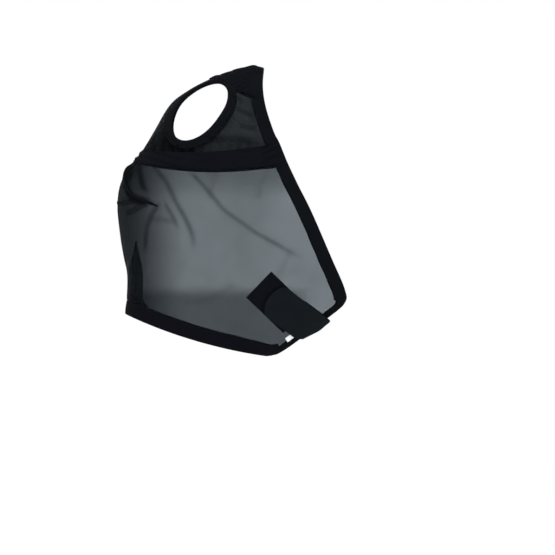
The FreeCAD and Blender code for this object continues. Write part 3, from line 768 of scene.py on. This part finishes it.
def folded(name, route, width, material, flip, closed=False, seed=1, rise=0.0, side=1,
           end_width=None):
    """Folded tape along a route of (u, v) places; gives the piece and its stitch lines."""
    u, v, at = even(route, 1.7, closed)
    wobble = 0.35 * ripple(at / 9, at * 0 + seed, seed)
    pucker = 0.16 * np.sin(at * math.tau / 3.6) + 0.22 * ripple(at / 2.4, at * 0, seed + 1)
    roll = 0.30 * ripple(at / 14, at * 0 + 3, seed + 2)
    narrow = 1 - (1 - (end_width or width) / width) * smooth(at, at[-1] - 14, at[-1] - 1)
    rails, marks = [], []
    for reach, lift in section(width):
        far = reach / width
        uu, vv = reach_in(u, v, flip, reach * narrow + wobble * far, closed)
        loose = np.exp(-((reach - (width - 3)) / 3.0) ** 2)
        top = 1.0 if lift > 0.6 else -0.5
        extra = top * (pucker * loose + roll * (1 - abs(2 * far - 1)) + rise)
        rails.append(lifted(uu, vv, lift + extra))
        marks.append(reach if lift > 0.6 else -reach)
    grid = np.stack(rails, 1)
    uv = np.stack([np.broadcast_to(np.array(marks), grid.shape[:2]),
                   np.broadcast_to(at[:, None], grid.shape[:2])], -1) * MM
    lines = []
    uu, vv = reach_in(u, v, flip, (width - 2.6) * narrow + wobble * 0.8, closed)
    for lift, turn in ((1.5 + rise, 1.0), (-0.5, -1.0)):
        line, out = lifted(uu, vv, lift), normal_at(uu, vv) * turn
        lines.append((mirror(line), mirror(out)) if side < 0 else (line, out))
    if side < 0:
        rails = [mirror(rail) for rail in rails][::-1]
        uv = uv[:, ::-1]
    piece = tube_of_rails(name, rails, material, closed, uv)
    return piece, lines


runs = []
for side, sign in (("left", 1), ("right", -1)):
    seed = 40 if sign > 0 else 60
    ends = np.linspace(0.02, CORNER + 0.3, 500)
    piece, lines = folded(side + "_rear_fold", (ends, ends * 0 + 1), REAR_W, BINDING, -1, False, seed,
                          side=sign, end_width=THROAT_W)
    finished(piece, "mask", "binding", side + "_rear_binding")
    runs += lines
    ends = np.linspace(CORNER + 0.1, HEM - 0.35, 160)
    piece, lines = folded(side + "_throat_fold", (ends, ends * 0 + 1), THROAT_W, BINDING, -1, False, seed + 3,
                          side=sign)
    finished(piece, "mask", "binding", side + "_throat_binding")
    runs += lines
    route = ear_route()
    piece, lines = folded(side + "_ear_fold", route, EAR_W, BINDING, -1, True, seed + 6, 0.1, side=sign)
    finished(piece, "mask", "binding", side + "_ear_binding")
    runs += lines
ends = np.linspace(-1, 1, 900)
rounded = HEM - 0.35 * np.clip((np.abs(ends) - 0.95) / 0.05, 0, 1) ** 2
piece, lines = folded("nose_fold", (rounded, ends), NOSE_W, HEM_TAPE, 1, False, 81)
finished(piece, "mask", "binding", "nose_binding")
runs += lines

# ---------------------------------------------------------------- the brow band
def brow_tape():
    """The tape across the forehead, and the two seam lines along it."""
    rows, columns = 44, 420
    a = np.linspace(0, 1, rows)[:, None] + np.zeros(columns)
    u = BROW_TOP + a * (BROW_LOW - BROW_TOP)
    v = rear_share(u, 3.5) * np.linspace(-1, 1, columns)
    y = skin(u, v)[..., 1]
    rear, front = smooth(y, 12, 28), smooth(y, -86, -100)
    u = u + (a - 0.5) * 0.7 * (0.05 + 0.12 * rear)
    height = 0.35 * ripple(y / 12, a * 5, 92) + 0.35 * ripple(y / 4, a * 2, 93)
    for share, deep in ((0.12, 1.0), (0.3, 0.5), (0.46, 0.7), (0.62, 0.6), (0.78, 0.6), (0.9, 1.0)):
        wander = share + 0.035 * ripple(y / 30, a * 0 + share * 9, 90)
        height -= 0.55 * deep * np.exp(-((a - wander) / 0.035) ** 2)
    height += rear * 1.3 * np.sin(a * 17 + y / 7 + ripple(y / 9, a * 4, 94))
    height += front * 0.9 * np.sin(a * 13 - y / 9 + ripple(y / 11, a * 4, 95))
    height -= 1.2 * np.exp(-((y + 101) / 4) ** 2) * smooth(a, 0.3, 1.0)
    rim = smooth(a, 0.0, 0.07) * smooth(1 - a, 0.0, 0.07)
    top = lifted(u, v, 2.1 + 0.75 * rim + height * rim * 0.9)
    low = lifted(u, v, 1.0 + 0 * u)
    finished(slab("brow_tape", top, low, BAND), "mask", "band_tape", "brow_band", "brow_stitching")
    across = np.linspace(-0.97, 0.97, 500)
    lines = []
    for share in (0.12, 0.9):
        uu = across * 0 + BROW_TOP + share * (BROW_LOW - BROW_TOP) + (share - 0.5) * 0.05
        lines.append((lifted(uu, across, 2.75), normal_at(uu, across)))
    return lines


runs += brow_tape()


def elastic(name, first, second, inset, node):
    rows, columns = 14, 240
    a, b = np.linspace(0, 1, rows)[:, None] + np.zeros(columns), np.linspace(-1, 1, columns)
    u = first + a * (second - first)
    v = rear_share(u, inset) * b
    length = v * column(4, u)
    height = 0.45 * np.sin(length / 1.5) * smooth(a, 0, 0.2) * smooth(1 - a, 0, 0.2)
    lift = LEAF_LOW - GAP - 0.6
    return finished(slab(name, lifted(u, v, lift + 0.55), lifted(u, v, lift - 0.55 + height), ELASTIC),
                    "mask", "elastic", node)


elastic("brow_elastic_tape", BROW_TOP + 0.15, BROW_LOW - 0.15, REAR_W + ELASTIC_GAP, "brow_elastic")
elastic("poll_elastic_tape", *POLL_ELASTIC, REAR_W + ELASTIC_GAP, "poll_elastic")

# ---------------------------------------------------------------- seams on the face
def center_seam():
    """The tape over the seam down the nose, and its two seam lines."""
    rows, columns = 160, 9
    a, b = np.linspace(0, 1, rows)[:, None] + np.zeros(columns), np.linspace(-1, 1, columns)
    u = BROW_LOW + 0.1 + a * (hem_line(0, NOSE_W + GAP) - BROW_LOW - 0.1)
    v = middle_share(u, SEAM_HALF) * b
    height = 0.8 + 0.25 * (1 - b**2) + 0.12 * np.sin(a * 400) * (np.abs(b) > 0.5)
    finished(slab("center_seam_cover", lifted(u, v, 0.75 + height), lifted(u, v, 0.55 + 0 * u), BAND),
             "mask", "band_tape", "center_seam_tape")
    uu = np.linspace(BROW_LOW + 0.15, HEM_TOP - 0.05, 200)
    lines = []
    for b_side in (-0.6, 0.6):
        vv = middle_share(uu, SEAM_HALF) * b_side
        lines.append((lifted(uu, vv, 1.85), normal_at(uu, vv)))
    return lines


runs += center_seam()

DART = ((-169.0, -141.0), (-169.5, -163.0), (-162.0, -175.0), (-147.0, -183.0), (-131.0, -189.0))
DART_SECTION = ((2.0, 0.5), (1.5, 1.2), (0.4, 1.9), (-0.5, 1.9), (-1.5, 1.2), (-2.0, 0.5),
                (-1.2, 0.2), (1.2, 0.2))


def dart_fold(side, sign, seed):
    """The pinched seam that gives the eye room."""
    route = place_on_side(*np.array(DART).T)
    steps = np.linspace(0, len(DART) - 1, 90)
    uu, vv = (np.interp(steps, range(len(DART)), way) for way in route)
    for _ in range(12):
        uu[1:-1] = (uu[:-2] + uu[2:] + 2 * uu[1:-1]) / 4
        vv[1:-1] = (vv[:-2] + vv[2:] + 2 * vv[1:-1]) / 4
    height, _ = face_relief(skin(uu, vv), seed)
    fade = smooth(steps, 0, 0.3) * smooth(len(DART) - 1 - steps, 0, 0.5)
    rails = []
    for reach, lift in DART_SECTION:
        ru, rv = reach_in(uu, vv, 1, reach * (0.5 + 0.5 * fade))
        rails.append(lifted(ru, rv, 0.3 + np.maximum(height, 0) + lift * (0.4 + 0.6 * fade)))
    if sign < 0:
        rails = [mirror(rail) for rail in rails][::-1]
    uv = np.zeros((len(steps), len(DART_SECTION), 2))
    fold = tube_of_rails(side + "_dart_fold", rails, BINDING, uv=uv)
    finished(fold, "mask", "thread", side + "_eye_dart_seam")


dart_fold("left", 1, 0)
dart_fold("right", -1, 7)


# ---------------------------------------------------------------- the nose pad
def nose_padding():
    """A pad behind the nose hem: narrow and deep at the top, wider along the hem."""
    rows, columns = 70, 60
    a, b = np.linspace(0, 1, rows)[:, None] + np.zeros(columns), np.linspace(-1, 1, columns)
    high = hem_line(0, NOSE_W + 0.5)
    u = PAD_TOP + a * (high - PAD_TOP)
    flare = np.maximum(0.0, (a - PAD_FLARE_START) / (1 - PAD_FLARE_START)) ** 2
    v = middle_share(u, PAD_HALF * np.minimum(1.0, 0.5 + a) + PAD_FLARE * flare) * b
    u = u + a * (hem_line(np.abs(v), NOSE_W + 0.5) - high)
    front = -1.0 - 17.0 * np.maximum(0.0, 1 - a / PAD_SLANT) ** 1.2
    behind = np.minimum(front - 2.0, -PAD_DEPTH * (1 - 0.75 * np.abs(b) ** 3))
    behind = behind * (1 - 0.12 * np.exp(-((np.abs(b) - 0.5) / 0.06) ** 2)) + 0.4 * ripple(a * 14, b * 9, 97)
    pad = slab("nose_padding", lifted(u, v, front), lifted(u, v, behind), FLEECE)
    finished(pad, "mask", "pad_fleece", "nose_pad")


nose_padding()


# ---------------------------------------------------------------- the strap
PATCH_HEAD, PATCH_LEAN = (12.2, -299.7), math.radians(136.0)
FOOT_LEAN = STRAP_LEAN + math.atan(SLANT)
DOWN = np.array([0, -math.cos(FOOT_LEAN), -math.sin(FOOT_LEAN)])


def on_cheek(start, lean, reach, across, lift):
    reach, across = np.broadcast_arrays(np.asarray(reach, float), np.asarray(across, float))
    y = start[0] + reach * math.cos(lean) + across * math.sin(lean)
    z = start[1] + reach * math.sin(lean) - across * math.cos(lean)
    u, v = place_on_side(y, z)
    return lifted(u, v, lift + 0 * u)


def cheek_place(reach, across, lift):
    ease = np.clip(1 - np.maximum(reach, 0.0) / STRAIGHT, 0, 1) ** 2
    return on_cheek(STRAP_FOOT, STRAP_LEAN, reach - SLANT * across * ease, across, lift)


def belly_place(share, across, lift):
    edge = cheek_place(FOLD + 0 * share, across, lift)
    sag = BELLY * (1 - 0.95 * smooth(across, -5, TAPE / 2))
    narrowed = edge * np.stack([share, share * 0 + 1, share * 0 + 1], -1)
    return narrowed + DOWN * (sag * (1 - share**18))[..., None]


def softened(grid, rounds):
    """Eases a grid's bends along its first way, and spaces its points evenly."""
    for _ in range(rounds):
        grid[1:-1] = (grid[:-2] + grid[2:] + 2 * grid[1:-1]) / 4
    middle = arc_length(grid[:, grid.shape[1] // 2])
    at = np.linspace(0, middle[-1], grid.shape[0])
    return np.stack([np.stack([np.interp(at, middle, grid[:, j, k]) for k in range(3)], -1)
                     for j in range(grid.shape[1])], 1)


def strip_slab(name, grid, thickness, material, outward):
    """Tape of even thickness round a grid of points, with soft edges."""
    along, over = np.gradient(grid, axis=0), np.gradient(grid, axis=1)
    n = unit(np.cross(along, over))
    way = np.sign((n[0] * outward).sum(-1).mean())
    n = n * (way if way else 1.0)
    b = np.linspace(-1, 1, grid.shape[1])
    rim = (0.35 + 0.65 * smooth(1 - np.abs(b), 0.0, 0.06))[None, :, None]
    half = thickness / 2 * rim
    piece = (grid + n * half, grid - n * half)
    if way > 0:
        return slab(name, *piece, material), n
    return slab(name, piece[1], piece[0], material), n


MIDDLE = STRAP_LOW + STRAP_T / 2
across = np.linspace(-1, 1, 34) * TAPE / 2


def cheek_run(first, last, count):
    r = np.linspace(first, last, count)[:, None]
    wave = 0.25 * ripple(r / 11, across / 13, 110)
    return cheek_place(r + 0 * across, across + 0 * r, MIDDLE) + wave[..., None] * EAR_OUT * 0.6


def belly_run(first, last, count):
    s = np.linspace(first, last, count)[:, None] + 0 * across
    cup = 1.6 * (1 - (2 * across / TAPE) ** 2) * (1 - s**2)
    return belly_place(s, across + 0 * s, np.full(s.shape, MIDDLE)) - cup[..., None] * DOWN


def normal_there(reach):
    y, z = STRAP_FOOT[0] + reach * math.cos(STRAP_LEAN), STRAP_FOOT[1] + reach * math.sin(STRAP_LEAN)
    u, v = place_on_side(y, z)
    return normal_at(u, v)


def spot(point):
    return tuple(float(c) * MM for c in point)


SIDE_MIDDLE = (FOLD + STRAP_REACH - TIP_REACH) / 2
left_line = np.concatenate([belly_run(0, 1, 60), cheek_run(FOLD, SIDE_MIDDLE, 24)[1:]])
left_line = softened(left_line, 8)
jaw, _ = strip_slab("strap_jaw", left_line, STRAP_T, STRAP_CLOTH, np.array([0, 0.5, -1.0]))
before, after = belly_place(np.array(0.84), 0.0, np.array(MIDDLE)), cheek_place(FOLD + 8, 0.0, MIDDLE)
spot(before)
spot(after)
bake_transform(jaw)
finished(jaw, None, "strap_tape", "strap_under")

right_line = mirror(np.concatenate([cheek_run(FOLD + ANCHOR, FOLD, 34), belly_run(1, 0, 60)[1:]]))
right_line = softened(right_line, 8)
root, _ = strip_slab("strap_root", right_line, STRAP_T, STRAP_CLOTH, mirror(normal_there(20.0)))
after, before = belly_place(np.array(0.84), 0.0, np.array(MIDDLE)), cheek_place(FOLD + 6, 0.0, MIDDLE)
spot(mirror(before))
spot(mirror(after))
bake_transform(root)
finished(root, None, "strap_tape", "strap_anchor")


def tip_end(s, inset=0.0):
    """Where the rounded tip ends, at s across the tape."""
    return STRAP_REACH - inset - TIP_ROUND * (TAPE / 2 - np.sqrt(np.maximum((TAPE / 2) ** 2 - s**2, 0)))


share = np.linspace(0, 1, 60)[:, None]
reach = SIDE_MIDDLE + share * (tip_end(across) - SIDE_MIDDLE)
curl = 1.2 * smooth(reach, STRAP_REACH - 14, STRAP_REACH)
curl = curl + 0.25 * ripple(reach / 11, across / 13, 110) * share
end_line = cheek_place(reach, across + 0 * reach, MIDDLE) + curl[..., None] * normal_there(60.0)
tip, _ = strip_slab("strap_end", end_line, STRAP_T, STRAP_CLOTH, normal_there(40.0))
tip_fold = STRAP_REACH - TIP_REACH
spot(cheek_place(tip_fold - 5, 0.0, MIDDLE))
spot(cheek_place(tip_fold + 5, 0.0, MIDDLE))
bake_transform(tip)
finished(tip, None, "strap_tape", "strap_side", "strap_tip")


def hook_pad(name, first, last_of, body, node):
    a, s = np.linspace(0, 1, 24)[:, None], across * 0.88
    last = last_of(s)
    r = first + a * (last - first)
    low, high = STRAP_LOW - PAD_T, STRAP_LOW - 0.02
    pad = slab(name, cheek_place(r, s + 0 * r, high), cheek_place(r, s + 0 * r, low), HOOK)
    finished(pad, body, "hook_tape", node)


hook_pad("hooks_side", FOLD + 5, lambda s: STRAP_REACH - TIP_REACH - 2 + 0 * s,
         "strap_side_flap", "side_hook_pad")
hook_pad("hooks_tip", STRAP_REACH - TIP_REACH + 2, lambda s: tip_end(s, 3.5),
         "strap_tip_flap", "tip_hook_pad")

# The sewn foot of the strap on the right cheek, under its end.
r = np.linspace(FOLD + 3, FOLD + ANCHOR, 20)[:, None]
foot = slab("strap_foot_patch", mirror(cheek_place(r, across * 0.98 + 0 * r, STRAP_LOW))[:, ::-1],
            mirror(cheek_place(r, across * 0.98 + 0 * r, OUTER))[:, ::-1], STRAP_CLOTH)
finished(foot, "mask", "strap_tape")


def loop_patch():
    """The loop patch on the left cheek, with its seams pressed in."""
    s = np.linspace(-1, 1, 60) * TAPE / 2
    back = np.linspace(0, PATCH_LENGTH, 80)[:, None]
    inset, first, last = 21.0, 4.0, 14.0
    rim = smooth(TAPE / 2 - np.abs(s), 0, 2.0) * smooth(back, 0, 2.0)
    along = np.exp(-((np.abs(s) - inset) / 0.8) ** 2) * (back < last + 1)
    over = np.exp(-((back - first) / 0.8) ** 2) + np.exp(-((back - last) / 0.8) ** 2)
    pressed = -0.5 * (along + over) * (np.abs(s) < inset + 0.5) + 0.15 * ripple(back / 6, s / 6, 120)
    top = on_cheek(PATCH_HEAD, PATCH_LEAN, -back, s, OUTER + 0.5 + (PATCH_T - 0.5) * rim + pressed * rim)
    low = on_cheek(PATCH_HEAD, PATCH_LEAN, -back, s, OUTER - 1.2)
    finished(slab("loop_patch", top, low, LOOP), "mask", "loop_tape", "closure_patch", "patch_stitching")


loop_patch()

sewn = []


def frame_of_thread(place, start, end, half, lift, mirrored_way=False):
    a, b = np.linspace(start, end, 60), np.linspace(-half, half, 60)
    for line in (place(a, a * 0 - half, lift), place(a, a * 0 + half, lift), place(b * 0 + start, b, lift),
                 place(b * 0 + end, b, lift)):
        out = np.gradient(line, axis=0) * 0 + normal_there(30.0)
        sewn.append((mirror(line), mirror(out)) if mirrored_way else (line, out))


frame_of_thread(lambda r, s, lift: on_cheek(PATCH_HEAD, PATCH_LEAN, -r, s, lift),
                4.0, 14.0, 21.0, OUTER + PATCH_T - 0.35)
frame_of_thread(cheek_place, FOLD + 6, FOLD + ANCHOR - 4, 21.0, STRAP_LOW + STRAP_T + 0.1, True)
finished(thread("stitches_patch", sewn, THREAD), "mask", "thread", "anchor_stitching")
finished(thread("stitches_seams", runs, THREAD), "mask", "thread")


def size_tag():
    """The small label at the hem, blank."""
    r = np.linspace(-1, 1, 14)[:, None] * LABEL_HALF[0] + np.zeros(8)
    s = np.linspace(-1, 1, 8) * LABEL_HALF[1] + np.zeros((14, 1))
    y = LABEL_PLACE[0] + r * math.cos(LABEL_LEAN) - s * math.sin(LABEL_LEAN)
    z = LABEL_PLACE[1] + r * math.sin(LABEL_LEAN) + s * math.cos(LABEL_LEAN)
    uu, vv = place_on_side(y, z)
    curl = 0.5 * (r / LABEL_HALF[0]) ** 2
    label = slab("size_tag", lifted(uu, vv, OUTER + LABEL_T + curl), lifted(uu, vv, OUTER + curl), LABEL)
    finished(label, "mask", "label", "size_label")


size_tag()

# ---------------------------------------------------------------- studio
world = bpy.data.worlds.new("studio")
bpy.context.scene.world = world
world.use_nodes = True
world.node_tree.nodes["Background"].inputs[0].default_value = (1, 1, 1, 1)
world.node_tree.nodes["Background"].inputs[1].default_value = 1.0

ground = Finish("floor_paint", (0.93, 0.93, 0.93), roughness=0.6)
ground.tint(ground.noise(3.0), 0.995, 1.005)
corners = np.array([(-1.6, -2, -0.66), (2, -2, -0.66), (2, 2, -0.66), (-1.6, 2, -0.66)]) / MM
floor = make_mesh("floor", corners, [(0, 1, 2, 3)], material=ground.material)

for name, place, aim, size, power in (
        ("key", (2.0, -1.3, 1.1), (0, 0, -0.25), 1.2, 42), ("fill", (1.8, 1.6, 0.2), (0, 0, -0.25), 1.6, 14),
        ("far", (-2.0, 0.3, 0.8), (0, 0, -0.25), 1.6, 16), ("top", (0.2, 0.0, 1.8), (0, 0, -0.2), 1.4, 22)):
    lamp = bpy.data.lights.new(name, "AREA")
    lamp.size, lamp.energy = size, power
    holder = bpy.data.objects.new(name, lamp)
    holder.location = place
    holder.rotation_euler = (Vector(aim) - Vector(place)).to_track_quat("-Z", "Y").to_euler()
    bpy.context.scene.collection.objects.link(holder)

lens = bpy.data.cameras.new("camera")
lens.sensor_width, lens.lens = 36.0, 368.4
lens.clip_end = 50.0
camera = bpy.data.objects.new("camera", lens)
camera.location = (8.0, 0.0385, -0.2905)
camera.rotation_euler = (math.pi / 2, 0, math.pi / 2)
bpy.context.scene.collection.objects.link(camera)
bpy.context.scene.camera = camera
bpy.context.scene.view_settings.view_transform = "Standard"
